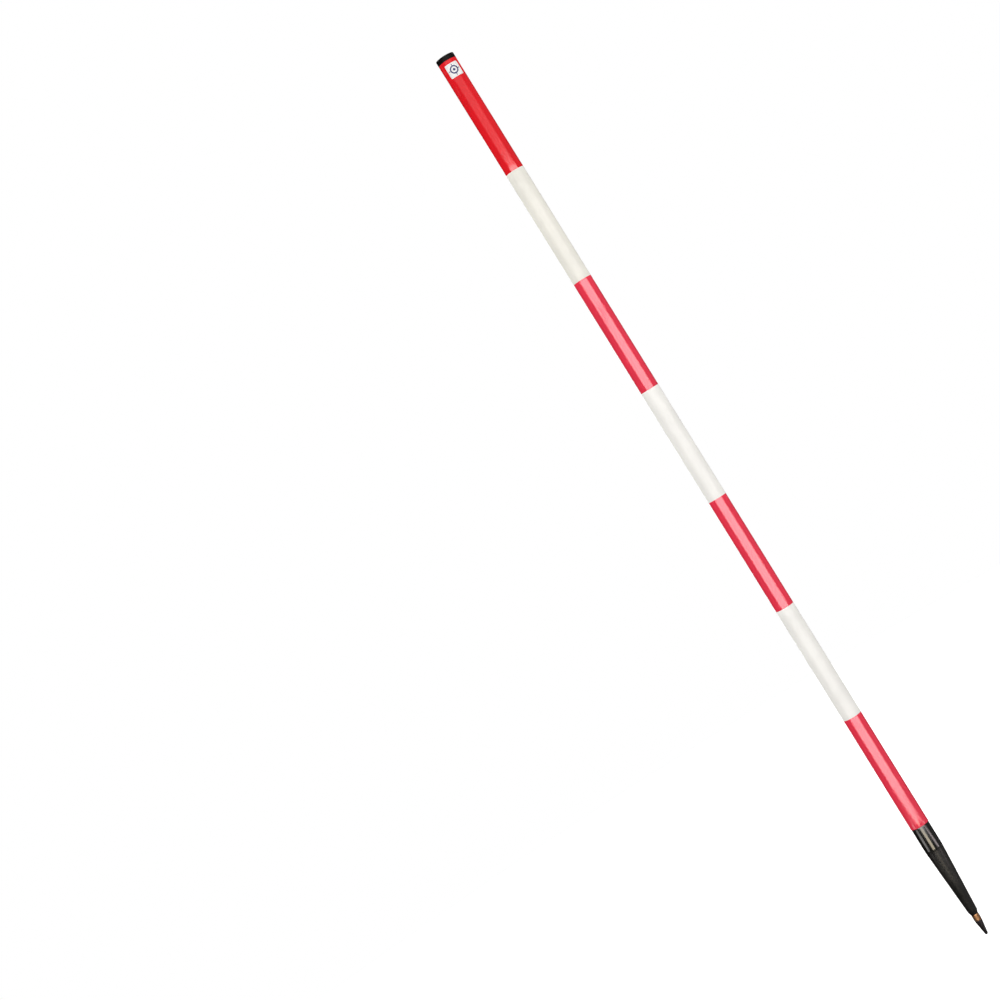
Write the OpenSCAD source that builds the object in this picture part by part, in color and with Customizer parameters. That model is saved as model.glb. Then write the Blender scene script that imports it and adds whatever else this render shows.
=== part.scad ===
// Range pole for surveying: a steel tube in red and white plastic sleeves, a black
// push-in cap at its head, and a black steel shoe with a screw-in point at its foot.
// The tip of the point is at the origin and the pole stands up along +Z.

/* [Shaft] */
// Outside diameter of the coloured sleeves
sleeve_d = 31; // [28:0.5:40]
// Wall of a coloured sleeve
sleeve_wall = 2; // [1.4:0.1:2.6]
// Chamfer on the ends of a coloured sleeve
sleeve_chamfer = 0.4; // [0.1:0.1:0.8]
// Length of one coloured band
band_len = 200; // [100:5:500]
// Wall of the steel core tube
core_wall = 1.2; // [0.8:0.1:2]

/* [Cap] */
// How far the cap's head stands out past the sleeves
cap_overhang = 0.1; // [0:0.1:2]
// Height of the cap's straight rim
cap_rim_h = 8.4; // [4:0.1:14]
// Rise of the cap's dome above its rim
cap_dome_h = 2; // [0.5:0.1:6]
// Rounding between the cap's rim and its dome
cap_round = 1.4; // [0.3:0.1:2.5]
// Thickness of the cap's head over its hollow plug
cap_roof = 3.5; // [2:0.1:5]
// Length of the plug that pushes into the core tube
plug_len = 26; // [16:1:50]
// Wall of the hollow plug
plug_wall = 1.8; // [1:0.1:3]
// Height of the grip rings on the plug
plug_ring_h = 0.6; // [0.3:0.1:1]
// Width of one grip ring at its root
plug_ring_w = 3; // [2:0.1:4]
// Number of grip rings on the plug
plug_ring_count = 3; // [2:1:4]

/* [Label] */
// Side of the square label, measured round the sleeve
label_side = 23; // [12:0.5:35]
// Thickness of the label
label_thick = 0.15; // [0.1:0.05:0.4]
// Distance from the head end of the top sleeve to the label
label_drop = 6.5; // [2:0.5:40]
// Turn of the label about the pole, in degrees
label_turn = 7; // [-90:1:90]

/* [Shoe] */
// Length of the shoe, from its nose to the lowest band
shoe_len = 163; // [110:1:220]
// Length of the shoe's straight collar
shoe_collar_len = 41; // [25:1:60]
// How far the shoe's collar lies inside the sleeves
shoe_step = 0.5; // [0:0.1:0.8]
// Wall of the shoe at its nose
shoe_wall = 3.3; // [1.2:0.1:4]
// Width of the bevel round the shoe's nose
nose_bevel = 1.8; // [0.3:0.1:2.8]
// Length of that bevel along the shoe
nose_bevel_len = 5.5; // [1:0.5:12]
// Width of the ledge inside the shoe that the core tube stands on
seat_ledge = 0.65; // [0.3:0.05:1.2]
// Wall of the bush in the nose, at the mouth of its bore
socket_wall = 0.9; // [0.5:0.1:2]

/* [Point] */
// Length of the bare steel point
point_len = 26; // [12:1:60]
// How far the point lies inside the brass collar
point_step = 0.3; // [0:0.1:1]
// Length of the point's straight shoulder above its cone
point_land = 2; // [1:0.5:8]
// Radius of the blunt tip
tip_r = 2.5; // [0.5:0.1:3]
// Length of the brass collar
collar_len = 11; // [6:0.5:25]
// Wall of the brass collar
collar_wall = 2.9; // [1.2:0.05:3.4]
// Chamfer on the ends of the brass collar
collar_chamfer = 0.5; // [0.2:0.1:0.8]
// Outside diameter of the threaded shank
shank_d = 6; // [4:0.1:8]
// Length of the shank inside the shoe
shank_len = 30; // [15:1:45]
// Pitch of the shank's thread
thread_pitch = 1; // [0.75:0.05:1.5]
// Depth of the shank's thread
thread_depth = 0.55; // [0.3:0.05:0.8]

/* [Cross pin] */
// Diameter of the slotted pin that locks the shoe to the core tube
pin_d = 4; // [3:0.1:6]
// Wall of the slotted pin
pin_wall = 0.8; // [0.5:0.1:1.2]
// Width of the pin's slot
pin_slot = 0.9; // [0.5:0.1:1.5]
// How far each end of the pin lies under the shoe's surface
pin_sink = 0.3; // [0.1:0.1:1]

/* [Hidden] */
$fn = 96;
NODES = [
    "core_tube",
    "band_1_red", "band_2_white", "band_3_red", "band_4_white",
    "band_5_red", "band_6_white", "band_7_red",
    "end_cap", "label",
    "ground_shoe", "shoe_pin", "point_socket",
    "point_collar", "steel_point"
];

// The coloured bands, from the head of the pole down to its foot
function is_band(name) = [for (k = [0 : 3]) name[k]] == ["b", "a", "n", "d"];
BANDS = [for (name = NODES) if (is_band(name)) name];
band_count = len(BANDS);

// Clearances between pieces, measured on the radius
shrink_gap = 0.05;
socket_gap = 0.05;
plug_gap = 0.05;
thread_gap = 0.05;
braze_gap = 0.1;
pin_gap = 0.03;
glue_gap = 0.03;

// How far a cut runs past the surface that it opens
cut_over = 1;

// Spare depth of the bore past the end of the shank
bore_spare = 3;
// Steel left over the blind end of the bore
socket_end = 4;

// Chamfers on the shoe's mouth and on the cap's lower edge
mouth_chamfer = 0.3;

// Steps of one rounded corner and of the dome
corner_steps = 6;
dome_steps = 12;

// Largest share of the nose's wall that its bevel takes
bevel_share = 0.75;

// Share of a grip ring's width that touches the tube, and of a pitch that the crest fills
ring_land_share = 0.4;
crest_share = 0.15;

// Radii
sleeve_r = sleeve_d / 2;
core_r = sleeve_r - sleeve_wall - shrink_gap;
core_bore_r = core_r - core_wall;
cap_r = sleeve_r + cap_overhang;
plug_r = core_bore_r - plug_gap;
plug_body_r = plug_r - plug_ring_h;
shoe_r = sleeve_r - shoe_step;
shoe_seat_r = core_r - seat_ledge;
shank_r = shank_d / 2;
bore_r = shank_r + thread_gap;
collar_r = bore_r + collar_wall;
point_r = collar_r - point_step;
nose_bore_r = bore_r + socket_wall + braze_gap;
nose_r = nose_bore_r + shoe_wall;
nose_cut = min(nose_bevel, bevel_share * shoe_wall);

// Heights above the tip
nose_z = point_len + collar_len;
foot_z = nose_z + shoe_len;
seat_z = foot_z - shoe_collar_len;
pin_z = (foot_z + seat_z) / 2;
head_z = foot_z + band_count * band_len;
rim_z = head_z + cap_rim_h;

// Height of the lower end of a band, counted from the head
function band_foot_z(index) = foot_z + (band_count - 1 - index) * band_len;

// Radius of the shoe's cone at a height, outside and inside
function cone_r(z) = nose_r + (shoe_r - nose_r) * (z - nose_z) / (seat_z - nose_z);
function hollow_cone_r(z) =
    nose_bore_r + (shoe_seat_r - nose_bore_r) * (z - nose_z) / (seat_z - nose_z);

// Points of an arc about a centre, from one angle to another
function arc(centre, radius, from, to, steps) = [
    for (k = [0 : steps])
        let (angle = from + (to - from) * k / steps)
            centre + radius * [cos(angle), sin(angle)]
];

// A hole right across the shoe's collar and the core tube for the slotted pin
module pin_hole() {
    translate([0, 0, pin_z])
        rotate([0, 90, 0])
            cylinder(r = pin_d / 2 + pin_gap, h = sleeve_d + 2 * cut_over, center = true);
}

module core_tube() {
    color("silver")
        difference() {
            translate([0, 0, seat_z])
                cylinder(r = core_r, h = head_z - seat_z);
            translate([0, 0, seat_z - cut_over])
                cylinder(r = core_bore_r, h = head_z - seat_z + 2 * cut_over);
            pin_hole();
        }
}

// One coloured sleeve with chamfered ends
module band(index, paint) {
    low = band_foot_z(index);
    high = low + band_len;
    inner = sleeve_r - sleeve_wall;
    color(paint)
        rotate_extrude()
            polygon([
                [inner, low],
                [sleeve_r - sleeve_chamfer, low],
                [sleeve_r, low + sleeve_chamfer],
                [sleeve_r, high - sleeve_chamfer],
                [sleeve_r - sleeve_chamfer, high],
                [inner, high]
            ]);
}

// A domed head on a hollow plug with grip rings
module end_cap() {
    dome_half = cap_r - cap_round;
    dome_r = (dome_half * dome_half + cap_dome_h * cap_dome_h) / (2 * cap_dome_h);
    dome_centre = [0, rim_z + cap_dome_h - dome_r];
    dome_angle = asin(dome_half / dome_r);
    ring_step = plug_len / plug_ring_count;
    land = plug_ring_w * ring_land_share;
    hollow_r = plug_body_r - plug_wall;
    color([0.08, 0.08, 0.09])
        rotate_extrude()
            polygon(concat(
                arc(dome_centre, dome_r, 90, 90 - dome_angle, dome_steps),
                arc([dome_half, rim_z - cap_round], cap_round, 90, 0, corner_steps),
                [
                    [cap_r, head_z + mouth_chamfer],
                    [cap_r - mouth_chamfer, head_z],
                    [plug_body_r, head_z]
                ],
                [
                    for (ring = [0 : plug_ring_count - 1])
                        let (middle = head_z - ring_step * (ring + 1 / 2))
                            each [
                                [plug_body_r, middle + plug_ring_w / 2],
                                [plug_r, middle + land / 2],
                                [plug_r, middle - land / 2],
                                [plug_body_r, middle - plug_ring_w / 2]
                            ]
                ],
                [
                    [plug_body_r, head_z - plug_len],
                    [hollow_r, head_z - plug_len],
                    [hollow_r, rim_z + cap_dome_h - cap_roof - cap_round],
                    [hollow_r - cap_round, rim_z + cap_dome_h - cap_roof],
                    [0, rim_z + cap_dome_h - cap_roof]
                ]
            ));
}

// A thin square label wrapped on the top sleeve
module label() {
    label_angle = label_side / sleeve_r * 180 / PI;
    low_r = sleeve_r + glue_gap;
    color("white")
        rotate([0, 0, label_turn - 90 - label_angle / 2])
            translate([0, 0, head_z - label_drop - label_side])
                rotate_extrude(angle = label_angle)
                    translate([low_r, 0])
                        square([label_thick, label_side]);
}

// A hollow cone whose straight collar holds the foot of the core tube
module ground_shoe() {
    mouth_r = core_r + socket_gap;
    bevel_z = nose_z + nose_bevel_len;
    color([0.12, 0.12, 0.12])
        difference() {
            rotate_extrude()
                polygon([
                    [nose_bore_r, nose_z],
                    [nose_r - nose_cut, nose_z],
                    [cone_r(bevel_z), bevel_z],
                    [shoe_r, seat_z],
                    [shoe_r, foot_z - mouth_chamfer],
                    [shoe_r - mouth_chamfer, foot_z],
                    [mouth_r, foot_z],
                    [mouth_r, seat_z],
                    [shoe_seat_r, seat_z]
                ]);
            pin_hole();
        }
}

// A slotted spring pin across the shoe's collar
module shoe_pin() {
    length = 2 * (shoe_r - pin_sink);
    color("gray")
        translate([0, 0, pin_z])
            rotate([0, 90, 0])
                difference() {
                    cylinder(r = pin_d / 2, h = length, center = true);
                    cylinder(r = pin_d / 2 - pin_wall, h = length + 2 * cut_over, center = true);
                    translate([pin_d / 2, 0, 0])
                        cube([pin_d, pin_slot, length + 2 * cut_over], center = true);
                }
}

// A taper bush brazed into the shoe's nose, with the blind bore for the point's shank
module point_socket() {
    bore_top = nose_z + shank_len + bore_spare;
    socket_top = bore_top + socket_end;
    color("dimgray")
        rotate_extrude()
            polygon([
                [bore_r, nose_z],
                [nose_bore_r - braze_gap, nose_z],
                [hollow_cone_r(socket_top) - braze_gap, socket_top],
                [0, socket_top],
                [0, bore_top],
                [bore_r, bore_top]
            ]);
}

// A brass sleeve between the shoe's nose and the bare point
module point_collar() {
    color("peru")
        rotate_extrude()
            polygon([
                [bore_r, point_len],
                [collar_r - collar_chamfer, point_len],
                [collar_r, point_len + collar_chamfer],
                [collar_r, nose_z - collar_chamfer],
                [collar_r - collar_chamfer, nose_z],
                [bore_r, nose_z]
            ]);
}

// A hardened point on a shank whose thread is drawn as rings
module steel_point() {
    shank_top = nose_z + shank_len;
    root_r = shank_r - thread_depth;
    crest = thread_pitch * crest_share;
    turns = floor((shank_len - thread_pitch) / thread_pitch);
    cone_top = point_len - point_land;
    reach = norm([point_r, cone_top - tip_r]);
    tangent = atan2(cone_top - tip_r, point_r) - acos(tip_r / reach);
    color([0.22, 0.21, 0.2])
        rotate_extrude()
            polygon(concat(
                arc([0, tip_r], tip_r, -90, tangent, corner_steps),
                [
                    [point_r, cone_top],
                    [point_r, point_len],
                    [shank_r, point_len],
                    [shank_r, nose_z],
                    [root_r, nose_z + thread_pitch / 2]
                ],
                [
                    for (turn = [1 : turns])
                        let (middle = nose_z + turn * thread_pitch)
                            each [
                                [root_r, middle - thread_pitch / 2 + crest],
                                [shank_r, middle - crest],
                                [shank_r, middle + crest],
                                [root_r, middle + thread_pitch / 2 - crest]
                            ]
                ],
                [[root_r, shank_top], [0, shank_top]]
            ));
}

core_tube();
for (index = [0 : band_count - 1])
    band(index, index % 2 == 0 ? "crimson" : "ivory");
end_cap();
label();
ground_shoe();
shoe_pin();
point_socket();
point_collar();
steel_point();
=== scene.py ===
"""Range pole: red and white sleeves on a steel tube, a black cap, a black ground shoe and a screw-in point.

All lengths are in metres. The pole stands on its tip at the origin, along +Z, with its label towards -Y.
"""

import math

import bmesh
import bpy
import numpy as np
from bpy.props import FloatProperty, FloatVectorProperty, PointerProperty
from mathutils import Matrix, Vector


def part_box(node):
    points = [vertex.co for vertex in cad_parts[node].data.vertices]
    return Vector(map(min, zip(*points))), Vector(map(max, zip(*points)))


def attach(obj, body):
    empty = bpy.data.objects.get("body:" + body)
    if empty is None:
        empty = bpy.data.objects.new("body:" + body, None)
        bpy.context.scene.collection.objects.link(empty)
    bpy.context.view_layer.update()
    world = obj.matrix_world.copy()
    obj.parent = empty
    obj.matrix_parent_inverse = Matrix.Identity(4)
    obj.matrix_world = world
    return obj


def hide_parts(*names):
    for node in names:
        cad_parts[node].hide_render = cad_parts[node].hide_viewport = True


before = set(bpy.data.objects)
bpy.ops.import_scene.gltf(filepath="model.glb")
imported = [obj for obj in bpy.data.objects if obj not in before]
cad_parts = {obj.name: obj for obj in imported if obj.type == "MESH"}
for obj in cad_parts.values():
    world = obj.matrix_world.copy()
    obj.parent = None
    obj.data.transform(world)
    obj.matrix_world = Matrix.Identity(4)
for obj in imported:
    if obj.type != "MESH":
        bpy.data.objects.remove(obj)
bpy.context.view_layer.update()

bl_info = {
    "name": "Range Pole",
    "version": (1, 0, 0),
    "blender": (4, 5, 0),
    "location": "View3D > Sidebar > Range Pole",
    "description": "Builds a surveying range pole with its finishes, light and camera",
    "category": "Add Mesh",
}

MM = 0.001
TINY = 1e-9
WELD_GAP = 2e-6
FULL_TURN = 2 * math.pi
SLEEVES = [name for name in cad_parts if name.startswith("band_")]

# Facets round the pole: on its wide pieces, on the brass collar, on the slim pieces in the nose, on the floor
WIDE_FACETS, COLLAR_FACETS, SLIM_FACETS, FLOOR_FACETS = 128, 96, 64, 48

# Roundings of small edges, from the keenest to the softest
KEEN, FINE, PLAIN, SOFT = 0.1 * MM, 0.2 * MM, 0.3 * MM, 0.4 * MM

# Stretch of a line noise: drawn along the pole, drawn along the pin, turned, and turned less finely
DRAWN, DRAWN_ACROSS, TURNED, ROUGH_TURNED = (1, 1, 0.002), (0.002, 1, 1), (0.02, 0.02, 1), (0.03, 0.03, 1)


def turned_size(node):
    """Outer radius, lowest height and highest height of a node that is turned about the pole."""
    low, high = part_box(node)
    return high.x, low.z, high.z


HEAD_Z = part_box("band_1_red")[1].z
CORE_R, SEAT_Z, CORE_TOP = turned_size("core_tube")
CAP_R, PLUG_LOW, CAP_TOP = turned_size("end_cap")
SHOE_R, NOSE_Z, FOOT_Z = turned_size("ground_shoe")
SOCKET_TOP_R, _, SOCKET_TOP = turned_size("point_socket")
COLLAR_R, COLLAR_LOW, COLLAR_TOP = turned_size("point_collar")
POINT_R, _, SHANK_TOP = turned_size("steel_point")
PIN_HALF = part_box("shoe_pin")[1].x
PIN_Z = (FOOT_Z + SEAT_Z) / 2


def length(name, description, millimetres):
    """A length property with its default given in millimetres."""
    default = millimetres * MM
    return FloatProperty(name=name, description=description, default=default, unit="LENGTH", precision=5)


def colour(name, description, red, green, blue):
    """A colour property in linear values."""
    return FloatVectorProperty(
        name=name, description=description, default=(red, green, blue), size=3, subtype="COLOR", min=0, max=1
    )


def amount(name, description, value):
    """A plain number without a unit."""
    return FloatProperty(name=name, description=description, default=value)


class PoleSizes(bpy.types.PropertyGroup):
    """Small sizes that the outer boxes of the pieces don't give."""

    sleeve_wall: length("Sleeve wall", "Thickness of a coloured sleeve", 2)
    sleeve_edge: length("Sleeve edge", "Rounding of a sleeve's cut ends", 0.35)
    core_wall: length("Tube wall", "Thickness of the steel tube", 1.2)
    cap_dome: length("Cap dome", "Rise of the cap's dome above its rim", 2)
    cap_round: length("Cap rounding", "Rounding between the cap's rim and its dome", 1.4)
    cap_roof: length("Cap roof", "Thickness of the cap over its hollow plug", 3.5)
    cap_mark: length("Gate mark", "Radius of the moulding mark in the middle of the dome", 1.6)
    plug_wall: length("Plug wall", "Thickness of the cap's hollow plug", 1.8)
    plug_ring_h: length("Grip ring height", "Height of the plug's grip rings", 0.6)
    plug_ring_w: length("Grip ring width", "Width of a grip ring at its root", 3)
    plug_gap: length("Plug clearance", "Gap between a grip ring and the tube", 0.05)
    label_thick: length("Label thickness", "Thickness of the label", 0.15)
    label_corner: length("Label corner", "Rounding of the label's corners", 2)
    shoe_step_edge: length("Shoe edge", "Rounding where the shoe's collar meets its cone", 1.5)
    shoe_wall: length("Shoe wall", "Thickness of the shoe at its nose", 3.3)
    nose_bevel: length("Nose bevel", "Width of the bevel round the shoe's nose", 1.8)
    nose_bevel_len: length("Nose bevel length", "Length of that bevel along the shoe", 5.5)
    nose_round: length("Nose rounding", "Rounding of the nose's front edge", 0.6)
    nose_bore: length("Nose bore", "Radius of the hole in the shoe's nose", 4.05)
    braze_gap: length("Braze", "Gap between the nose and the bush, filled with braze", 0.1)
    seat_ledge: length("Tube seat", "Width of the ledge that the tube stands on", 0.65)
    fit_gap: length("Fit clearance", "Gap round the tube and the shank", 0.05)
    pin_r: length("Pin radius", "Radius of the slotted pin", 2)
    pin_wall: length("Pin wall", "Thickness of the slotted pin", 0.8)
    pin_slot: length("Pin slot", "Width of the pin's slot", 0.9)
    pin_gap: length("Pin clearance", "Gap round the pin", 0.03)
    point_land: length("Point shoulder", "Length of the point's straight shoulder", 2)
    tip_r: length("Tip radius", "Radius of the blunt tip", 2.5)
    shank_r: length("Shank radius", "Outer radius of the threaded shank", 3)
    thread_pitch: length("Thread pitch", "Rise of the thread in one turn", 1)
    thread_depth: length("Thread depth", "Depth of the shank's thread", 0.55)
    bore_thread: length("Bore thread", "Depth of the thread cut into the bore", 0.3)
    bore_end: length("Bore end", "Steel left over the blind end of the bore", 4)
    collar_edge: length("Collar edge", "Rounding of the brass collar's ends", 0.5)


class PoleFinish(bpy.types.PropertyGroup):
    """Colours of the pieces."""

    # Head red is a deeper red, and is also darkened as painted shade for the dimmer light at the head
    shaded_head_red: colour("Shaded head red", "Red sleeve at the head", 0.78, 0.0065, 0.0135)
    red: colour("Red", "Red sleeves below it, a little paler", 0.84, 0.034, 0.072)
    # Head white is the white below darkened as painted shade, for the dimmer light near the head
    shaded_head_white: colour("Shaded head white", "White sleeve next to the head, a little duller", 0.85, 0.825, 0.748)
    white: colour("White", "White sleeves below it", 0.905, 0.885, 0.84)
    cap_black: colour("Cap black", "Moulded cap", 0.0045, 0.0034, 0.003)
    lacquer: colour("Lacquer", "Black lacquer of the shoe", 0.0075, 0.0068, 0.0055)
    soil: colour("Soil", "Dry soil film on the shoe's cone", 0.021, 0.017, 0.013)
    bare_steel: colour("Bare steel", "Steel where the lacquer has rubbed off", 0.30, 0.28, 0.26)
    zinc: colour("Zinc", "Plated tube", 0.60, 0.61, 0.62)
    spring_steel: colour("Spring steel", "Oiled pin", 0.22, 0.21, 0.21)
    turned_steel: colour("Turned steel", "Bush in the nose", 0.45, 0.44, 0.43)
    brass: colour("Brass", "Collar of the point", 0.50, 0.262, 0.125)
    tarnish: colour("Tarnish", "Dull patches on the brass", 0.16, 0.07, 0.03)
    point_steel: colour("Point steel", "Hardened dark point", 0.02, 0.017, 0.018)
    label_white: colour("Label white", "Ground of the label", 0.84, 0.84, 0.82)
    label_ink: colour("Label ink", "Sighting ring on the label", 0.02, 0.025, 0.13)


class PoleStage(bpy.types.PropertyGroup):
    """Camera and light."""

    camera_distance: length("Camera distance", "Distance from the camera to the pole", 3280)
    camera_side: length("Camera side", "Sideways place of the camera", -289.7)
    camera_height: length("Camera height", "Height of the camera above the tip", 975.8)
    picture_width: length("Picture width", "Width of the picture at the pole", 1560.2)
    camera_roll: FloatProperty(
        name="Camera roll",
        description="Lean of the pole in the picture",
        default=math.radians(31.76),
        subtype="ANGLE",
    )
    floor_drop: length("Floor drop", "Room under the tip to screw out the point", 32)
    panel_level: amount("Panel level", "Brightness of the panels that the gloss reflects", 8.5)
    head_level: amount("Head level", "Brightness of the dim panel that the top band reflects", 1.0)
    strip_level: amount("Strip level", "Brightness of the strips that the shoe's collar reflects", 14)
    key_level: amount("Key level", "Brightness of the soft light at the front right", 1.04)
    fill_level: amount("Fill level", "Brightness of the soft light at the front left", 0.86)
    rear_level: amount("Rear level", "Brightness of the soft light at the back right", 0.55)
    top_level: amount("Top level", "Brightness of the soft light overhead", 1.7)
    room_level: amount("Room level", "Brightness of the room on matt surfaces", 0.57)
    gloss_left: amount("Gloss left", "Brightness of the room's left side in reflections", 0.03)
    gloss_behind: amount("Gloss behind", "Share of that brightness straight behind the pole", 0.12)
    gloss_right: amount("Gloss right", "Brightness of the room's right side in reflections", 0.24)


def rounded(corners, steps=6, closed=True, most_of_run=0.49):
    """An outline of straight runs with round corners, as rows of (radius, height).

    Each corner is (radius, height, rounding). Its arc touches both runs, has its centre on the line that
    halves the corner, and is swept by the great-circle blend of its two end spokes. It takes at most just
    under half of a run. An open outline keeps its two end points as they are.
    """
    corners = np.asarray(corners, float)
    place, rounding = corners[:, :2], corners[:, 2].copy()
    if not closed:
        rounding[[0, -1]] = 0
    to_last = np.roll(place, 1, axis=0) - place
    to_next = np.roll(place, -1, axis=0) - place
    run_last = np.linalg.norm(to_last, axis=1, keepdims=True)
    run_next = np.linalg.norm(to_next, axis=1, keepdims=True)
    to_last, to_next = to_last / run_last, to_next / run_next
    half = np.arccos(np.clip((to_last * to_next).sum(1), -1, 1)) / 2
    cut = rounding / np.tan(half)
    cut = np.minimum(cut, most_of_run * np.minimum(run_last, run_next)[:, 0])
    halving = to_last + to_next
    halving = halving / np.maximum(np.linalg.norm(halving, axis=1, keepdims=True), TINY)
    centre = place + halving * (cut / np.cos(half))[:, None]
    first = place + to_last * cut[:, None] - centre
    final = place + to_next * cut[:, None] - centre
    sweep = np.maximum(math.pi - 2 * half, TINY)[:, None, None]
    share = np.linspace(0, 1, steps)[None, :, None]
    spokes = np.sin((1 - share) * sweep) * first[:, None] + np.sin(share * sweep) * final[:, None]
    outline = (centre[:, None] + spokes / np.sin(sweep)).reshape(-1, 2)
    moved = np.linalg.norm(np.diff(outline, axis=0, prepend=outline[:1] + 1), axis=1) > TINY
    return outline[moved]


def dense(outline, longest, closed=True):
    """The outline with its long runs divided evenly, so that no run is longer than the given length."""
    ends = np.roll(outline, -1, axis=0) if closed else outline[1:]
    starts = outline if closed else outline[:-1]
    pieces = np.maximum(np.ceil(np.linalg.norm(ends - starts, axis=1) / longest), 1).astype(int)
    run = np.repeat(np.arange(len(starts)), pieces)
    step = np.arange(len(run)) - np.repeat(np.cumsum(pieces) - pieces, pieces)
    points = starts[run] + (ends - starts)[run] * (step / pieces[run])[:, None]
    return points if closed else np.vstack([points, outline[-1:]])


def round_the_pole(radius, height, angle):
    """Points at a radius, a height and an angle about the pole, from arrays that fit together."""
    radius, height, angle = np.broadcast_arrays(radius, height, angle)
    return np.stack([radius * np.cos(angle), radius * np.sin(angle), height], axis=-1)


def ring_angles(around):
    """Angles of the columns of a turned sheet; the last repeats the first and is welded to it."""
    return np.linspace(0, FULL_TURN, around + 1)


def turned(outline, around, closed=False):
    """A sheet of revolution: the outline of (radius, height) carried round the pole."""
    if closed:
        outline = np.vstack([outline, outline[:1]])
    return round_the_pole(outline[:, :1], outline[:, 1:], ring_angles(around)[None, :])


def threaded(root, crest, low, high, pitch, around, rows_per_turn=10, steep=1.5, sunk=0.25):
    """A sheet with a screw thread: the radius is a flattened triangle wave of height / pitch - angle / turn.

    The wave is made steeper and sunk a little, and is then cut flat at the root and at the crest. It fades
    in and out over one pitch at the ends, where the radius is the root's.
    """
    height = np.linspace(low, high, int(round((high - low) / pitch * rows_per_turn)) + 1)[:, None]
    angle = ring_angles(around)[None, :]
    phase = (height / pitch - angle / FULL_TURN) % 1
    flank = np.clip(steep * (1 - np.abs(2 * phase - 1)) - sunk, 0, 1)
    fade = np.clip((height - low) / pitch, 0, 1) * np.clip((high - height) / pitch, 0, 1)
    return round_the_pole(root + (crest - root) * flank * fade, height, angle)


def drilled(radius, low, high, hole_r, around, reach=8, rings=7, plain_rows=8):
    """Sheets of a round wall with the pin's hole right across it along X, and the two edges of the hole.

    The unrolled wall is a grid. A square patch that reaches the same number of columns to each side of
    the hole is left out of it, and is filled with rings that pass evenly from the square's rim to the
    hole's edge. A point of the patch at (y, z) lies on the wall at x = sqrt(radius^2 - y^2).
    """
    column = FULL_TURN / around
    half = radius * math.sin(reach * column)
    rows = PIN_Z + np.linspace(-half, half, 2 * reach + 1)[:, None]
    below = np.linspace(low, rows[0, 0], plain_rows)[:, None]
    above = np.linspace(rows[-1, 0], high, plain_rows)[:, None]
    side = column * np.arange(reach, around // 2 - reach + 1)[None, :]
    sheets = [
        round_the_pole(radius, below, ring_angles(around)[None, :]),
        round_the_pole(radius, above, ring_angles(around)[None, :]),
        round_the_pole(radius, rows, side),
        round_the_pole(radius, rows, side + math.pi),
    ]
    climb = np.arange(-reach, reach)
    edge = np.full(2 * reach, reach)
    columns = np.concatenate([climb, edge, -climb, -edge, [-reach]])
    lines = np.concatenate([-edge, climb, edge, -climb, [-reach]])
    turn = np.arctan2(lines, columns)
    share = np.linspace(0, 1, rings)[:, None]
    y = (1 - share) * hole_r * np.cos(turn) + share * radius * np.sin(columns * column)
    z = (1 - share) * hole_r * np.sin(turn) + share * half * lines / reach
    patch = np.stack([np.sqrt(radius**2 - y**2), y, PIN_Z + z], axis=-1)
    behind = patch * [-1, -1, 1]
    return sheets + [patch, behind], (patch[0], behind[0])


def drilled_tube(outer, inner, low, high, hole_r, rows=4):
    """Sheets of a drilled tube: outside, inside, and the hole's walls running straight between them."""
    outside, outer_edges = drilled(outer, low, high, hole_r, WIDE_FACETS)
    inside, inner_edges = drilled(inner, low, high, hole_r, WIDE_FACETS)
    share = np.linspace(0, 1, rows)[:, None, None]
    return outside + inside + [near + (far - near) * share for near, far in zip(outer_edges, inner_edges)]


def bridged(face, back):
    """The four narrow sheets that close the gap between the rims of two sheets of equal size."""
    ends = [np.stack([face[line], back[line]]) for line in (0, -1)]
    return ends + [np.stack([face[:, line], back[:, line]]) for line in (0, -1)]


def sheet_faces(rows, columns):
    """Corner numbers of the quads of a sheet whose points are numbered row by row."""
    corner = np.arange(rows * columns).reshape(rows, columns)
    quads = [corner[:-1, :-1], corner[:-1, 1:], corner[1:, 1:], corner[1:, :-1]]
    return np.stack(quads, axis=-1).reshape(-1, 4)


def welded(name, sheets, crease=math.radians(38)):
    """A closed mesh from sheets of points: equal points are joined, and all faces are turned outwards."""
    points = np.concatenate([sheet.reshape(-1, 3) for sheet in sheets])
    first = np.cumsum([0] + [sheet.shape[0] * sheet.shape[1] for sheet in sheets[:-1]])
    faces = np.concatenate([sheet_faces(*sheet.shape[:2]) + start for sheet, start in zip(sheets, first)])
    mesh = bpy.data.meshes.new(name)
    mesh.from_pydata(points, [], faces)
    shell = bmesh.new()
    shell.from_mesh(mesh)
    bmesh.ops.remove_doubles(shell, verts=shell.verts, dist=WELD_GAP)
    bmesh.ops.recalc_face_normals(shell, faces=shell.faces)
    shell.to_mesh(mesh)
    shell.free()
    mesh.polygons.foreach_set("use_smooth", np.ones(len(mesh.polygons), bool))
    mesh.set_sharp_from_angle(angle=crease)
    mesh.update()
    return mesh


def piece(mesh, material, body, node):
    """Puts a finished mesh into the scene in place of its node, moving with its body."""
    made = bpy.data.objects.new(mesh.name, mesh)
    bpy.context.scene.collection.objects.link(made)
    mesh.materials.append(material)
    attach(made, body)
    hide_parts(node)


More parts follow.
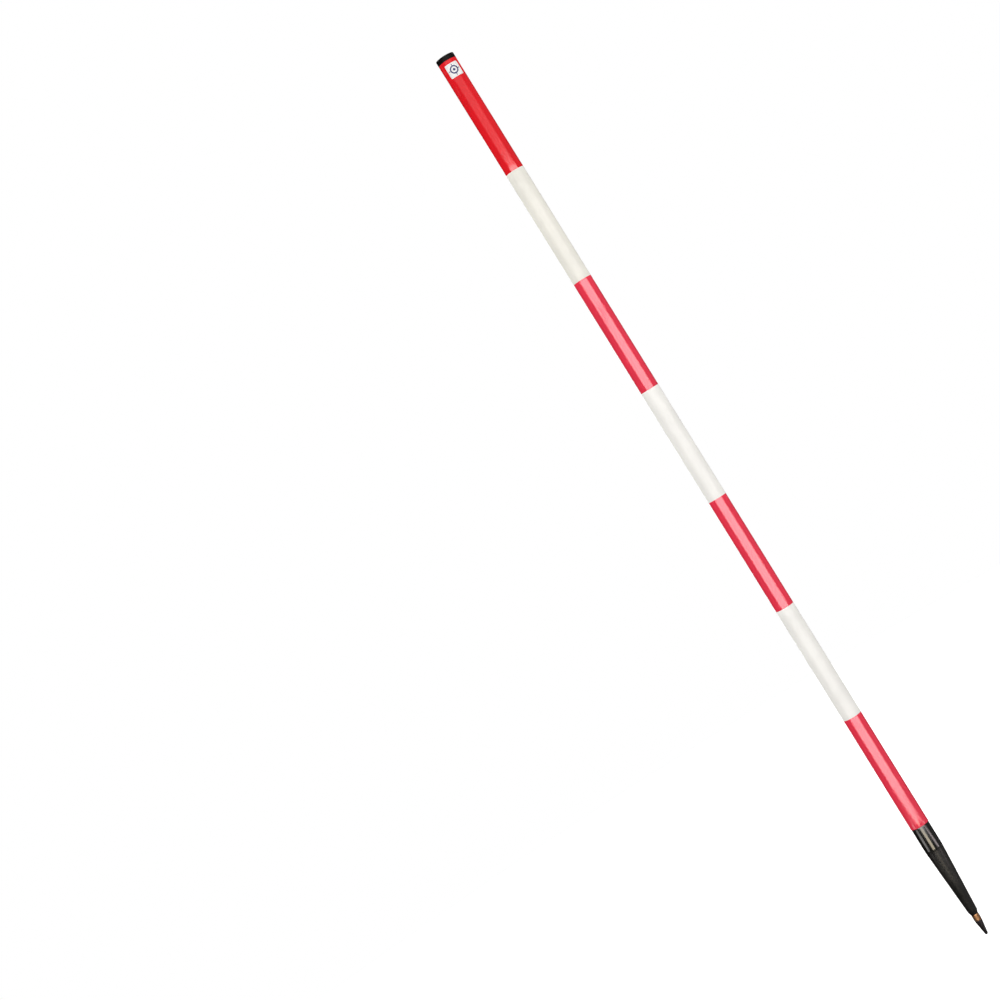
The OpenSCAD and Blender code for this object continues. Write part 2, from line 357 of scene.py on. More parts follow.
class Nodes:
    """A node tree under construction, with short ways to add nodes to it."""

    def __init__(self, tree):
        self.tree = tree

    def node(self, kind, inputs=None, **settings):
        """A node with its settings, and with its inputs set to values or linked to outputs."""
        made = self.tree.nodes.new(kind)
        for key, value in settings.items():
            setattr(made, key, value)
        for key, value in (inputs or {}).items():
            if isinstance(value, bpy.types.NodeSocket):
                self.tree.links.new(value, made.inputs[key])
            else:
                made.inputs[key].default_value = value
        return made

    def ramp(self, value, low=0, high=1, to_low=0, to_high=1):
        """The value taken from one span to another and clamped."""
        inputs = {"Value": value, "From Min": low, "From Max": high, "To Min": to_low, "To Max": to_high}
        return self.node("ShaderNodeMapRange", inputs).outputs[0]

    def combine(self, operation, first, second):
        """Two numbers put together by a sum, a product or the like."""
        return self.node("ShaderNodeMath", {0: first, 1: second}, operation=operation).outputs[0]


class Finish(Nodes):
    """A material under construction. Values that are even all over are set on its shader at once."""

    def __init__(self, name, **even_values):
        self.material = bpy.data.materials.new(name)
        self.material.use_nodes = True
        super().__init__(self.material.node_tree)
        self.shader = self.tree.nodes["Principled BSDF"]
        self.place = self.node("ShaderNodeTexCoord").outputs["Object"]
        for socket, value in even_values.items():
            self.shader.inputs[socket.replace("_", " ")].default_value = value

    def grain(self, scale, stretch=(1, 1, 1), detail=2):
        """Noise in the piece's own space, drawn out along the axes with a small stretch value."""
        mapped = self.node("ShaderNodeMapping", {"Vector": self.place, "Scale": stretch})
        inputs = {"Vector": mapped.outputs[0], "Scale": scale, "Detail": detail}
        return self.node("ShaderNodeTexNoise", inputs).outputs["Fac"]

    def vector(self, operation, *inputs):
        """A node that works on vectors."""
        return self.node("ShaderNodeVectorMath", dict(enumerate(inputs)), operation=operation).outputs

    def mix(self, share, first, second):
        """One colour passing into another. The node's colours are its inputs 6 and 7, and its output 2."""
        return self.node("ShaderNodeMix", {0: share, 6: first, 7: second}, data_type="RGBA").outputs[2]

    def feed(self, socket, output):
        """Links an output to one of the shader's sockets."""
        self.tree.links.new(output, self.shader.inputs[socket])

    def bump(self, height, depth, strength):
        """Relief of a given depth in metres from a height between 0 and 1."""
        made = self.node("ShaderNodeBump", {"Height": height, "Distance": depth, "Strength": strength})
        self.feed("Normal", made.outputs[0])


def tint(rgb, level=1.0):
    """A colour with full alpha, made lighter or darker by a level."""
    return (*(min(1, level * value) for value in rgb[:3]), 1)


def sleeve_finish(name, rgb, cloud_level, rub_level, shine):
    """Glossy extruded plastic: faint clouds, light rubs, drawn lines along the pole and orange peel.

    Clouds and rubs are the sleeve's own colour at another level.
    """
    finish = Finish(name, IOR=1.5, Specular_IOR_Level=shine)
    cloud = finish.ramp(finish.grain(scale=30, detail=4), low=0.35, high=0.65)
    body = finish.mix(cloud, tint(rgb, cloud_level), tint(rgb))
    scuff = finish.ramp(finish.grain(scale=160, stretch=(1, 1, 0.25), detail=6), low=0.58, high=0.72)
    patch = finish.ramp(finish.grain(scale=14, detail=3), low=0.48, high=0.62)
    rub = finish.combine("MULTIPLY", scuff, patch)
    finish.feed("Base Color", finish.mix(finish.ramp(rub, to_high=0.35), body, tint(rgb, rub_level)))
    lines = finish.grain(scale=1400, stretch=(1, 1, 0.0015), detail=3)
    gloss = finish.ramp(lines, low=0.3, high=0.7, to_low=0.13, to_high=0.24)
    finish.feed("Roughness", finish.combine("ADD", gloss, finish.ramp(rub, to_high=0.25)))
    drawn = finish.combine("MULTIPLY", lines, 0.8)
    peel = finish.combine("MULTIPLY", finish.grain(scale=900, detail=1), 0.2)
    finish.bump(finish.combine("ADD", drawn, peel), depth=0.04 * MM, strength=0.5)
    return finish.material


def cap_finish(rgb, dust_level=2.4):
    """Moulded black plastic: a fine spark grain, a little dust, and a gloss that isn't quite even."""
    finish = Finish("moulded_black_plastic", IOR=1.49, Specular_IOR_Level=0.1)
    dust = finish.ramp(finish.grain(scale=120, detail=5), low=0.55, high=0.75, to_high=0.25)
    finish.feed("Base Color", finish.mix(dust, tint(rgb), tint(rgb, dust_level)))
    handled = finish.grain(scale=70, detail=3)
    finish.feed("Roughness", finish.ramp(handled, low=0.3, high=0.7, to_low=0.34, to_high=0.5))
    finish.bump(finish.grain(scale=2600), depth=0.03 * MM, strength=0.6)
    return finish.material


def lacquer_finish(finishes):
    """Black lacquer: glossy on the collar, dulled by soil on the cone, rubbed to steel at the nose."""
    finish = Finish("black_lacquer", IOR=1.5)
    height = finish.node("ShaderNodeSeparateXYZ", {0: finish.place}).outputs[2]
    cone = finish.ramp(height, low=SEAT_Z + 1 * MM, high=SEAT_Z - 6 * MM)
    smear = finish.ramp(finish.grain(scale=55, stretch=(1, 1, 0.3), detail=5), low=0.35, high=0.7)
    film = finish.ramp(finish.combine("MULTIPLY", cone, smear), to_high=0.7)
    coated = finish.mix(film, tint(finishes.lacquer), tint(finishes.soil))
    near_nose = finish.ramp(height, low=NOSE_Z + 9 * MM, high=NOSE_Z + 0.5 * MM)
    chips = finish.ramp(finish.grain(scale=420, detail=4), low=0.62, high=0.66)
    worn = finish.combine("MULTIPLY", chips, near_nose)
    finish.feed("Base Color", finish.mix(worn, coated, tint(finishes.bare_steel)))
    finish.feed("Metallic", worn)
    dull = finish.ramp(cone, to_low=0.1, to_high=0.24)
    finish.feed("Roughness", finish.combine("ADD", dull, finish.ramp(smear, to_high=0.08)))
    rings, lines = finish.grain(scale=900, stretch=TURNED), finish.grain(scale=1500, stretch=DRAWN)
    rings = finish.combine("MULTIPLY", rings, finish.ramp(cone, to_low=0.3))
    finish.bump(finish.combine("ADD", rings, lines), depth=0.03 * MM, strength=0.5)
    return finish.material


def metal_finish(name, rgb, dull_rgb, low, high, lines, patch_scale):
    """Bare metal: tool lines in one direction, and duller patches.

    low and high are the ends of its roughness. lines is the stretch of the line noise: small along Z for
    drawn lines, small across for turned rings.
    """
    finish = Finish(name, Metallic=1.0)
    patch = finish.ramp(finish.grain(scale=patch_scale, detail=5), low=0.4, high=0.68)
    finish.feed("Base Color", finish.mix(patch, tint(rgb), tint(dull_rgb)))
    tool = finish.grain(scale=2200, stretch=lines, detail=3)
    rough = finish.ramp(tool, low=0.3, high=0.7, to_low=low, to_high=high)
    finish.feed("Roughness", finish.combine("ADD", rough, finish.ramp(patch, to_high=0.18)))
    finish.bump(tool, depth=0.04 * MM, strength=0.6)
    return finish.material


def label_finish(finishes, ring_r=0.25, tick_r=0.36):
    """Printed vinyl: a plain sighting ring on white, with a dot and four ticks.

    The print is worked out from the label's own map, which runs from 0 to 1 along each side. Ink lies where
    a distance falls below a limit: from the ring's line, from the middle, or from an axis near the ticks.
    """
    finish = Finish("printed_vinyl", IOR=1.46)
    chart = finish.node("ShaderNodeUVMap", uv_map="label").outputs[0]
    centred = finish.vector("SUBTRACT", chart, (0.5, 0.5, 0))[0]
    away = finish.vector("LENGTH", centred)["Value"]
    sides = finish.node("ShaderNodeSeparateXYZ", {0: finish.vector("ABSOLUTE", centred)[0]}).outputs
    off_ring, off_ticks = (
        finish.combine("ABSOLUTE", finish.combine("SUBTRACT", away, radius), 0) for radius in (ring_r, tick_r)
    )
    ring = finish.ramp(off_ring, low=0.05, high=0.042)
    dot = finish.ramp(away, low=0.095, high=0.087)
    near_axis = finish.ramp(finish.combine("MINIMUM", sides[0], sides[1]), low=0.026, high=0.02)
    ticks = finish.combine("MULTIPLY", near_axis, finish.ramp(off_ticks, low=0.07, high=0.064))
    ink = finish.combine("MAXIMUM", finish.combine("MAXIMUM", ring, dot), ticks)
    speckle = finish.ramp(finish.grain(scale=1500), low=0.25, high=0.4, to_low=0.7)
    ink = finish.combine("MULTIPLY", ink, speckle)
    finish.feed("Base Color", finish.mix(ink, tint(finishes.label_white), tint(finishes.label_ink)))
    handled = finish.grain(scale=260, detail=3)
    finish.feed("Roughness", finish.ramp(handled, low=0.3, high=0.7, to_low=0.22, to_high=0.38))
    finish.bump(finish.grain(scale=700), depth=0.02 * MM, strength=0.4)
    return finish.material


class RANGEPOLE_OT_sleeves(bpy.types.Operator):
    """Coloured sleeves, pushed end to end on the tube"""

    bl_idname = "range_pole.sleeves"
    bl_label = "Coloured Sleeves"

    def execute(self, context):
        sizes, finishes = context.scene.pole_sizes, context.scene.pole_finish
        reds, whites = {"cloud_level": 0.93, "rub_level": 1.12}, {"cloud_level": 0.955, "rub_level": 0.8}
        paints = {
            "red": sleeve_finish("red_sleeve_plastic", finishes.red, shine=0.5, **reds),
            "white": sleeve_finish("white_sleeve_plastic", finishes.white, shine=0.09, **whites),
            # The top red sleeve takes the deeper red that is darkened as painted shade for the dimmer light
            # at the head
            "band_1_red": sleeve_finish("head_red_sleeve_plastic", finishes.shaded_head_red, shine=0.5, **reds),
            # The white sleeve next to the head takes the white that is darkened as painted shade for the
            # dimmer light there
            "band_2_white": sleeve_finish(
                "head_white_sleeve_plastic", finishes.shaded_head_white, shine=0.1, **whites
            ),
        }
        for node in SLEEVES:
            paint = node.rsplit("_", 1)[1]
            plastic = paints.get(node, paints[paint])
            outer, low, high = turned_size(node)
            inner = outer - sizes.sleeve_wall
            edge = sizes.sleeve_edge
            corners = [(inner, low, 0), (outer, low, edge), (outer, high, edge), (inner, high, 0)]
            outline = dense(rounded(corners), longest=10 * MM)
            mesh = welded(node + "_sleeve", [turned(outline, WIDE_FACETS, closed=True)])
            piece(mesh, plastic, "pole", node)
        return {"FINISHED"}


class RANGEPOLE_OT_core_tube(bpy.types.Operator):
    """Steel tube inside the sleeves, drilled across for the pin"""

    bl_idname = "range_pole.core_tube"
    bl_label = "Core Tube"

    def execute(self, context):
        sizes, finishes = context.scene.pole_sizes, context.scene.pole_finish
        bore = CORE_R - sizes.core_wall
        edge = sizes.core_wall / 4
        drilled_low, drilled_top = SEAT_Z + edge, FOOT_Z
        wall = drilled_tube(CORE_R, bore, drilled_low, drilled_top, sizes.pin_r + sizes.pin_gap)
        foot = rounded(
            [
                (bore, drilled_low, 0),
                (bore, SEAT_Z, edge / 2),
                (CORE_R, SEAT_Z, edge / 2),
                (CORE_R, drilled_low, 0),
            ],
            closed=False,
        )
        head = rounded(
            [
                (CORE_R, drilled_top, 0),
                (CORE_R, CORE_TOP, edge),
                (bore, CORE_TOP, edge),
                (bore, drilled_top, 0),
            ],
            closed=False,
        )
        head = dense(head, longest=40 * MM, closed=False)
        mesh = welded("zinc_tube", wall + [turned(foot, WIDE_FACETS), turned(head, WIDE_FACETS)])
        dull = tint(finishes.zinc, 0.7)
        zinc = metal_finish(
            "zinc_plate", finishes.zinc, dull, low=0.28, high=0.42, lines=DRAWN, patch_scale=90
        )
        piece(mesh, zinc, "pole", "core_tube")
        return {"FINISHED"}


class RANGEPOLE_OT_end_cap(bpy.types.Operator):
    """Moulded cap: a low dome on a straight rim, over a hollow plug with grip rings"""

    bl_idname = "range_pole.end_cap"
    bl_label = "End Cap"

    def execute(self, context):
        sizes, finishes = context.scene.pole_sizes, context.scene.pole_finish
        stem = CORE_R - sizes.core_wall - sizes.plug_gap - sizes.plug_ring_h
        hollow = stem - sizes.plug_wall
        rim_top, roof = CAP_TOP - sizes.cap_dome, CAP_TOP - sizes.cap_roof
        dome = self.dome(sizes)
        body = rounded(
            [
                (dome[-1, 0], rim_top, 0),
                (CAP_R, rim_top, sizes.cap_round),
                (CAP_R, HEAD_Z, PLAIN),
                (stem, HEAD_Z, FINE),
                *self.grip_rings(sizes, stem),
                (stem, PLUG_LOW, SOFT),
                (hollow, PLUG_LOW, PLAIN),
                (hollow, roof, sizes.cap_round),
                (0, roof, 0),
            ],
            closed=False,
        )
        outline = dense(np.vstack([dome, body[1:]]), longest=2 * MM, closed=False)
        mesh = welded("moulded_cap", [turned(outline, WIDE_FACETS)])
        piece(mesh, cap_finish(finishes.cap_black), "cap", "end_cap")
        return {"FINISHED"}

    def dome(self, sizes, points=22, mark_depth=0.25 * MM, mark_slope=0.3):
        """An arc of radius (half width^2 + rise^2) / (2 rise), with the moulding mark sunk in its middle."""
        half = CAP_R - sizes.cap_round
        radius = (half**2 + sizes.cap_dome**2) / (2 * sizes.cap_dome)
        spread = np.linspace(0, math.asin(half / radius), points)
        across, height = radius * np.sin(spread), CAP_TOP - radius * (1 - np.cos(spread))
        sink = mark_depth * np.clip((sizes.cap_mark - across) / (mark_slope * sizes.cap_mark), 0, 1)
        return np.stack([across, height - sink], axis=1)

    def grip_rings(self, sizes, stem, count=3):
        """Corners of the plug's grip rings, from the top down: trapezia at even steps, flat at the crest."""
        crest = stem + sizes.plug_ring_h
        step = (HEAD_Z - PLUG_LOW) / count
        wide, land = sizes.plug_ring_w / 2, sizes.plug_ring_w / 5
        profile = [(stem, wide, SOFT), (crest, land, PLAIN), (crest, -land, PLAIN), (stem, -wide, SOFT)]
        middles = [HEAD_Z - step * (ring + 0.5) for ring in range(count)]
        return [(radius, middle + up, edge) for middle in middles for radius, up, edge in profile]


class RANGEPOLE_OT_label(bpy.types.Operator):
    """Square label with round corners, wrapped on the top sleeve"""

    bl_idname = "range_pole.label"
    bl_label = "Label"

    def execute(self, context):
        sizes, finishes = context.scene.pole_sizes, context.scene.pole_finish
        row_count, column_count = 33, 41
        low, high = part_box("label")
        outer = -low.y
        left, right = math.asin(low.x / outer), math.asin(high.x / outer)
        turn, half_width = (left + right) / 2 - math.pi / 2, outer * (right - left) / 2
        half_height = (high.z - low.z) / 2
        corner = sizes.label_corner
        # Rows crowd towards the top and bottom edges, where their half width follows the corners' arcs
        rows = half_height * np.sin(np.linspace(-math.pi / 2, math.pi / 2, row_count))[:, None]
        past = np.maximum(np.abs(rows) - (half_height - corner), 0)
        width = half_width - corner + np.sqrt(np.maximum(corner**2 - past**2, 0))
        angle = turn + np.linspace(-1, 1, column_count)[None, :] * width / outer
        height = low.z + half_height + rows
        face = round_the_pole(outer, height, angle)
        back = round_the_pole(outer - sizes.label_thick, height, angle)
        mesh = welded("square_label", [face, back, *bridged(face, back)])
        place = np.empty(len(mesh.vertices) * 3)
        mesh.vertices.foreach_get("co", place)
        place = place.reshape(-1, 3)
        along = 0.5 + (np.arctan2(place[:, 1], place[:, 0]) - turn) * outer / (2 * half_width)
        up = (place[:, 2] - low.z) / (2 * half_height)
        corners = np.empty(len(mesh.loops), int)
        mesh.loops.foreach_get("vertex_index", corners)
        chart = mesh.uv_layers.new(name="label")
        chart.data.foreach_set("uv", np.stack([along, up], axis=1)[corners].ravel())
        piece(mesh, label_finish(finishes), "pole", "label")
        return {"FINISHED"}


class RANGEPOLE_OT_ground_shoe(bpy.types.Operator):
    """Lacquered shoe: a collar drilled for the pin, and a long hollow cone with a bevelled nose"""

    bl_idname = "range_pole.ground_shoe"
    bl_label = "Ground Shoe"

    def execute(self, context):
        sizes, finishes = context.scene.pole_sizes, context.scene.pole_finish
        edge = sizes.shoe_step_edge
        step_blend, bevel_blend = 4 * edge, 10 * sizes.nose_round
        mouth = CORE_R + sizes.fit_gap
        seat = CORE_R - sizes.seat_ledge
        nose = sizes.nose_bore + sizes.shoe_wall
        bevel_z = NOSE_Z + sizes.nose_bevel_len
        bevel_r = np.interp(bevel_z, [NOSE_Z, SEAT_Z], [nose, SHOE_R])
        wall_low, wall_high = SEAT_Z + edge, FOOT_Z - edge
        wall = drilled_tube(SHOE_R, mouth, wall_low, wall_high, sizes.pin_r + sizes.pin_gap)
        cone = rounded(
            [
                (mouth, wall_low, 0),
                (mouth, SEAT_Z, 0),
                (seat, SEAT_Z, FINE),
                (sizes.nose_bore, NOSE_Z, 0),
                (nose - sizes.nose_bevel, NOSE_Z, sizes.nose_round),
                (bevel_r, bevel_z, bevel_blend),
                (SHOE_R, SEAT_Z, step_blend),
                (SHOE_R, wall_low, 0),
            ],
            steps=8,
            closed=False,
        )
        cone = dense(cone, longest=4 * MM, closed=False)
        lip = rounded(
            [(SHOE_R, wall_high, 0), (SHOE_R, FOOT_Z, PLAIN), (mouth, FOOT_Z, FINE), (mouth, wall_high, 0)],
            closed=False,
        )
        mesh = welded("lacquered_shoe", wall + [turned(cone, WIDE_FACETS), turned(lip, WIDE_FACETS)])
        piece(mesh, lacquer_finish(finishes), "pole", "ground_shoe")
        return {"FINISHED"}


class RANGEPOLE_OT_shoe_pin(bpy.types.Operator):
    """Slotted spring pin across the shoe's collar"""

    bl_idname = "range_pole.shoe_pin"
    bl_label = "Slotted Pin"

    def execute(self, context):
        sizes, finishes = context.scene.pole_sizes, context.scene.pole_finish
        chamfer = sizes.pin_wall / 4
        outside = sizes.pin_r - np.array([chamfer, 0, 0, 0, chamfer])[:, None]
        along = np.array([-PIN_HALF, -PIN_HALF + chamfer, 0, PIN_HALF - chamfer, PIN_HALF])[:, None]
        outer, inner = (self.arc(sizes, along, radius) for radius in (outside, sizes.pin_r - sizes.pin_wall))
        mesh = welded("slotted_pin", [outer, inner, *bridged(outer, inner)])
        oiled, dull = finishes.spring_steel, tint(finishes.spring_steel, 0.5)
        steel = metal_finish(
            "oiled_spring_steel", oiled, dull, low=0.3, high=0.45, lines=DRAWN_ACROSS, patch_scale=300
        )
        piece(mesh, steel, "pole", "shoe_pin")
        return {"FINISHED"}

    def arc(self, sizes, along, radius, points=49):
        """A sheet about the pin's axis that leaves out the slot, which is below and opens at one angle."""
        gap = math.asin(sizes.pin_slot / 2 / sizes.pin_r)
        angle = -math.pi / 2 + gap + (FULL_TURN - 2 * gap) * np.linspace(0, 1, points)[None, :]
        sheet = np.broadcast_arrays(along, radius * np.cos(angle), PIN_Z + radius * np.sin(angle))
        return np.stack(sheet, axis=-1)


class RANGEPOLE_OT_point_socket(bpy.types.Operator):
    """Tapered bush in the shoe's nose, with a blind threaded bore"""

    bl_idname = "range_pole.point_socket"
    bl_label = "Point Socket"

    def execute(self, context):
        sizes, finishes = context.scene.pole_sizes, context.scene.pole_finish
        pitch, top_edge = sizes.thread_pitch, 0.5 * MM
        bore = sizes.shank_r + sizes.fit_gap
        lower = sizes.nose_bore - sizes.braze_gap
        bore_top = SOCKET_TOP - sizes.bore_end
        thread_low, thread_high = NOSE_Z + pitch, bore_top - pitch
        blind_end = rounded(
            [(0, bore_top + pitch, 0), (bore, bore_top, 0), (bore, thread_high, 0)], closed=False
        )
        skin = rounded(
            [
                (bore, thread_low, 0),
                (bore, NOSE_Z, PLAIN),
                (lower, NOSE_Z, FINE),
                (SOCKET_TOP_R, SOCKET_TOP, top_edge),
                (0, SOCKET_TOP, 0),
            ],
            closed=False,
        )
        skin = dense(skin, longest=3 * MM, closed=False)
        thread = threaded(bore, bore + sizes.bore_thread, thread_low, thread_high, pitch, SLIM_FACETS)
        mesh = welded("nose_bush", [turned(blind_end, SLIM_FACETS), turned(skin, SLIM_FACETS), thread])
        dull = tint(finishes.turned_steel, 0.6)
        steel = metal_finish(
            "turned_steel", finishes.turned_steel, dull, low=0.25, high=0.4, lines=TURNED, patch_scale=200
        )
        piece(mesh, steel, "pole", "point_socket")
        return {"FINISHED"}


class RANGEPOLE_OT_point_collar(bpy.types.Operator):
    """Brass collar between the shoe's nose and the bare point"""

    bl_idname = "range_pole.point_collar"
    bl_label = "Brass Collar"

    def execute(self, context):
        sizes, finishes = context.scene.pole_sizes, context.scene.pole_finish
        bore = sizes.shank_r + sizes.fit_gap
        edge = sizes.collar_edge
        corners = [
            (bore, COLLAR_LOW, KEEN),
            (COLLAR_R, COLLAR_LOW, edge),
            (COLLAR_R, COLLAR_TOP, edge),
            (bore, COLLAR_TOP, KEEN),
        ]
        outline = dense(rounded(corners), longest=1 * MM)
        mesh = welded("brass_collar", [turned(outline, COLLAR_FACETS, closed=True)])
        bright, dull = finishes.brass, finishes.tarnish
        brass = metal_finish(
            "turned_brass", bright, dull, low=0.2, high=0.36, lines=TURNED, patch_scale=260
        )
        piece(mesh, brass, "point", "point_collar")
        return {"FINISHED"}


class RANGEPOLE_OT_steel_point(bpy.types.Operator):
    """Hardened point with a blunt tip, a plain neck and a threaded shank"""

    bl_idname = "range_pole.steel_point"
    bl_label = "Steel Point"

    def execute(self, context):
        sizes, finishes = context.scene.pole_sizes, context.scene.pole_finish
        half_pitch, shoulder_edge, shoulder_blend = sizes.thread_pitch / 2, 0.25 * MM, 2 * MM
        root = sizes.shank_r - sizes.thread_depth
        cone_top = COLLAR_LOW - sizes.point_land
        tip = self.tip(sizes.tip_r, cone_top)
        thread_low, thread_high = NOSE_Z + half_pitch, SHANK_TOP - half_pitch
        neck = rounded(
            [
                (tip[-1, 0], tip[-1, 1], 0),
                (POINT_R, cone_top, shoulder_blend),
                (POINT_R, COLLAR_LOW, shoulder_edge),
                (sizes.shank_r, COLLAR_LOW, KEEN),
                (sizes.shank_r, NOSE_Z, KEEN),
                (root, thread_low, 0),
            ],
            closed=False,
        )
        lower = dense(np.vstack([tip, neck[1:]]), longest=1.5 * MM, closed=False)
        thread = threaded(root, sizes.shank_r, thread_low, thread_high, sizes.thread_pitch, SLIM_FACETS)
        end = rounded([(root, thread_high, 0), (root, SHANK_TOP, PLAIN), (0, SHANK_TOP, 0)], closed=False)
        mesh = welded("hardened_point", [turned(lower, SLIM_FACETS), thread, turned(end, SLIM_FACETS)])
        dark, pale = finishes.point_steel, tint(finishes.point_steel, 2.2)
        steel = metal_finish(
            "hardened_dark_steel", dark, pale, low=0.32, high=0.48, lines=ROUGH_TURNED, patch_scale=350
        )
        piece(mesh, steel, "point", "steel_point")
        return {"FINISHED"}

    def tip(self, radius, cone_top, points=10):
        """An arc from the very tip to where the cone touches it.

        The touching spoke is turned from the line to the cone's upper rim by acos(radius / that line).
        """
        reach = math.hypot(POINT_R, cone_top - radius)
        touch = math.atan2(cone_top - radius, POINT_R) - math.acos(radius / reach)
        bend = np.linspace(-math.pi / 2, touch, points)
        arc = np.stack([radius * np.cos(bend), radius * (1 + np.sin(bend))], axis=1)
        arc[0, 0] = 0
        return arc


def soft_light(name, level, size, place, towards, **seen_by):
    """A rectangular light whose level is its brightness: power = level x pi x area."""
    lamp = bpy.data.lights.new(name, "AREA")
    lamp.shape = "RECTANGLE"
    lamp.size, lamp.size_y = size
    lamp.energy = level * math.pi * size[0] * size[1]
    made = bpy.data.objects.new(name, lamp)
    bpy.context.scene.collection.objects.link(made)
    made.location = place
    made.rotation_euler = (Vector(towards) - Vector(place)).to_track_quat("-Z", "Y").to_euler()
    made.visible_camera = False
    for key, value in seen_by.items():
        setattr(made, key, value)
    return made


class RANGEPOLE_OT_stage(bpy.types.Operator):
    """Pale floor, soft light and the camera of the photograph"""

    bl_idname = "range_pole.stage"
    bl_label = "Stage"

    def execute(self, context):
        scene, stage = context.scene, context.scene.pole_stage
        self.floor(stage)
        self.room(scene, stage)
        self.panels(stage)
        self.strips(stage)
        self.lamps(stage)
        self.camera(scene, stage)
        scene.view_settings.view_transform = "Standard"
        return {"FINISHED"}

    def floor(self, stage):
        """A wide pale disc under the tip, drawn as rings about the pole."""
        dull, bright = (0.92, 0.92, 0.92, 1), (0.94, 0.94, 0.94, 1)
        radius = np.array([0, 0.5, 1.5, 3.5])
        outline = np.stack([radius, np.full_like(radius, -stage.floor_drop)], axis=1)
        sheet = turned(outline, FLOOR_FACETS)
        mesh = bpy.data.meshes.new("floor")
        mesh.from_pydata(sheet.reshape(-1, 3), [], sheet_faces(*sheet.shape[:2])[:, ::-1])
        paint = Finish("pale_floor", Roughness=1.0, Specular_IOR_Level=0.0)
        cloud = paint.ramp(paint.grain(scale=3, detail=3), low=0.3, high=0.7)
        paint.feed("Base Color", paint.mix(cloud, dull, bright))
        mesh.materials.append(paint.material)
        made = bpy.data.objects.new("floor", mesh)
        bpy.context.scene.collection.objects.link(made)
        made.visible_glossy = False
        made.visible_diffuse = False

    def room(self, scene, stage):
        """A world that is white to look at, and dimmer in reflections than on matt surfaces.

        In reflections its level passes evenly from its left side to its right, and falls off behind the pole.
        """
        world = bpy.data.worlds.new("pale_room")
        world.use_nodes = True
        room = Nodes(world.node_tree)
        room.tree.nodes.clear()
        way = room.node("ShaderNodeTexCoord").outputs["Generated"]
        sides = room.node("ShaderNodeSeparateXYZ", {0: way}).outputs
        across = room.ramp(sides["X"], low=-1, to_low=stage.gloss_left, to_high=stage.gloss_right)
        depth = room.ramp(sides["Y"], low=0.2, high=0.8, to_low=1, to_high=stage.gloss_behind)
        gloss_level, sight_level = room.combine("MULTIPLY", across, depth), 1
        matt, gloss, sight = (
            room.node("ShaderNodeBackground", {"Color": (1, 1, 1, 1), "Strength": level}).outputs[0]
            for level in (stage.room_level, gloss_level, sight_level)
        )
        path = room.node("ShaderNodeLightPath").outputs
        lit = room.node("ShaderNodeMixShader", {0: path["Is Glossy Ray"], 1: matt, 2: gloss}).outputs[0]
        seen = room.node("ShaderNodeMixShader", {0: path["Is Camera Ray"], 1: lit, 2: sight}).outputs[0]
        room.node("ShaderNodeOutputWorld", {0: seen})
        scene.world = world

    def panels(self, stage):
        """Panels that only reflections see: four in front, one on top of the other, and a dim one behind."""
        ahead, behind = -0.6, 0.8
        bottom, foot_top, lower_top, upper_top, head_top = 0.057, 0.295, 0.768, 1.478, 1.9
        rear_level = 0.4 * stage.panel_level
        for name, level, depth, left, right, low, high in (
            ("foot_panel", stage.panel_level, ahead, -0.71, 0.59, bottom, foot_top),
            ("lower_panel", stage.panel_level, ahead, -0.58, 0.60, foot_top, lower_top),
            ("upper_panel", stage.panel_level, ahead, -0.53, 0.643, lower_top, upper_top),
            ("head_panel", stage.head_level, ahead, -0.53, 0.643, upper_top, head_top),
            ("rear_panel", rear_level, behind, -0.16, 0.16, 0, 1.6),
        ):
            middle, height = (left + right) / 2, (low + high) / 2
            size = (right - left, high - low)
            soft_light(name, level, size, (middle, depth, height), (middle, 0, height), visible_diffuse=False)

    def strips(self, stage):
        """Strips that stand so low that only the shoe's upright collar mirrors them to the camera."""
        gold, rose, cream = (1, 0.87, 0.64), (1, 0.86, 0.88), (1, 0.97, 0.95)
        for name, share, tone, size, place, towards in (
            ("gold_strip", 0.8, gold, (0.332, 0.057), (-0.111, -0.6, 0.0285), (-0.111, 0, 0.0285)),
            ("right_strip", 0.5, rose, (0.43, 0.049), (0.45, -0.42, 0.03), (0, -0.42, 0.03)),
            ("left_strip", 0.3, cream, (0.25, 0.047), (-0.45, -0.125, 0.068), (0, -0.125, 0.068)),
        ):
            strip = soft_light(name, share * stage.strip_level, size, place, towards, visible_diffuse=False)
            strip.data.color = tone

    def lamps(self, stage):
        """Large soft lamps that only matt surfaces see: two in front, one behind and one overhead."""
        upright, ceiling = (1.6, 2.0), (9, 9)
        for name, level, size, place, towards in (
            ("key", stage.key_level, upright, (1.5, -2.2, 0.35), (0, 0, 0.4)),
            ("fill", stage.fill_level, upright, (-1.7, -2.0, 0.3), (0, 0, 0.35)),
            ("rear", stage.rear_level, upright, (1.3, 2.0, 0.9), (0, 0, 0.7)),
            ("overhead", stage.top_level, ceiling, (0, 0, 4.5), (0, 0, 0)),
        ):
            soft_light(name, level, size, place, towards, visible_glossy=False)

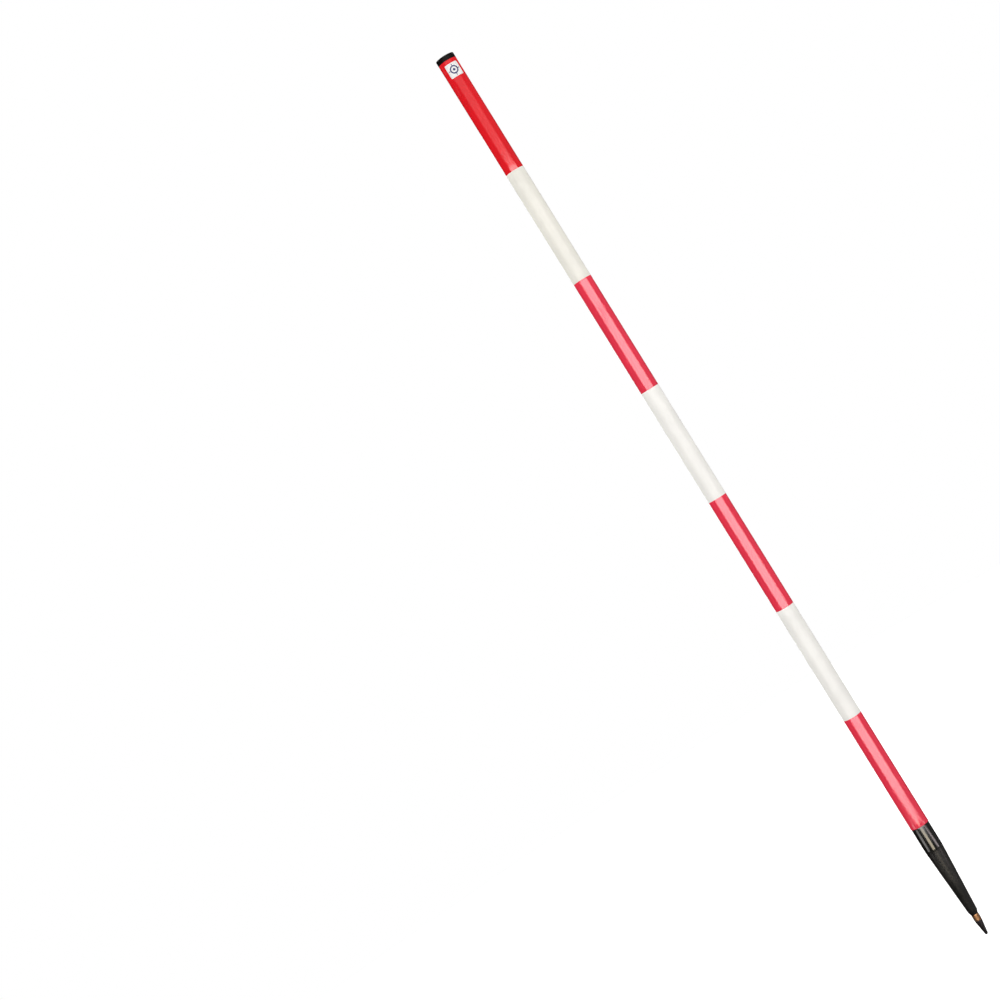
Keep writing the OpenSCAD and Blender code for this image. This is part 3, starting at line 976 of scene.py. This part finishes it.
    def camera(self, scene, stage):
        """A level camera, leaned over so that the pole lies across the picture."""
        data = bpy.data.cameras.new("camera")
        data.lens = data.sensor_width * stage.camera_distance / stage.picture_width
        made = bpy.data.objects.new("camera", data)
        scene.collection.objects.link(made)
        level, lean = math.cos(stage.camera_roll), math.sin(stage.camera_roll)
        right, up, back = Vector((level, 0, -lean)), Vector((lean, 0, level)), Vector((0, -1, 0))
        turn = Matrix((right, up, back)).transposed().to_4x4()
        place = Matrix.Translation((stage.camera_side, -stage.camera_distance, stage.camera_height))
        made.matrix_world = place @ turn
        scene.camera = made


class RANGEPOLE_PT_panel(bpy.types.Panel):
    """Sizes, finishes and build steps of the range pole"""

    bl_idname = "RANGEPOLE_PT_panel"
    bl_label = "Range Pole"
    bl_space_type = "VIEW_3D"
    bl_region_type = "UI"
    bl_category = "Range Pole"

    def draw(self, context):
        for operator in OPERATORS:
            self.layout.operator(operator.bl_idname)
        for group in (context.scene.pole_sizes, context.scene.pole_finish, context.scene.pole_stage):
            box = self.layout.box()
            for name in group.bl_rna.properties.keys():
                if name not in {"rna_type", "name"}:
                    box.prop(group, name)


OPERATORS = (
    RANGEPOLE_OT_sleeves,
    RANGEPOLE_OT_core_tube,
    RANGEPOLE_OT_end_cap,
    RANGEPOLE_OT_label,
    RANGEPOLE_OT_ground_shoe,
    RANGEPOLE_OT_shoe_pin,
    RANGEPOLE_OT_point_socket,
    RANGEPOLE_OT_point_collar,
    RANGEPOLE_OT_steel_point,
    RANGEPOLE_OT_stage,
)
GROUPS = {"pole_sizes": PoleSizes, "pole_finish": PoleFinish, "pole_stage": PoleStage}
CLASSES = (*GROUPS.values(), *OPERATORS, RANGEPOLE_PT_panel)


def register():
    for cls in CLASSES:
        bpy.utils.register_class(cls)
    for name, group in GROUPS.items():
        setattr(bpy.types.Scene, name, PointerProperty(type=group))


def unregister():
    for name in GROUPS:
        delattr(bpy.types.Scene, name)
    for cls in reversed(CLASSES):
        bpy.utils.unregister_class(cls)


def main():
    register()
    for operator in OPERATORS:
        family, step = operator.bl_idname.split(".")
        getattr(getattr(bpy.ops, family), step)()


if __name__ == "__main__":
    main()
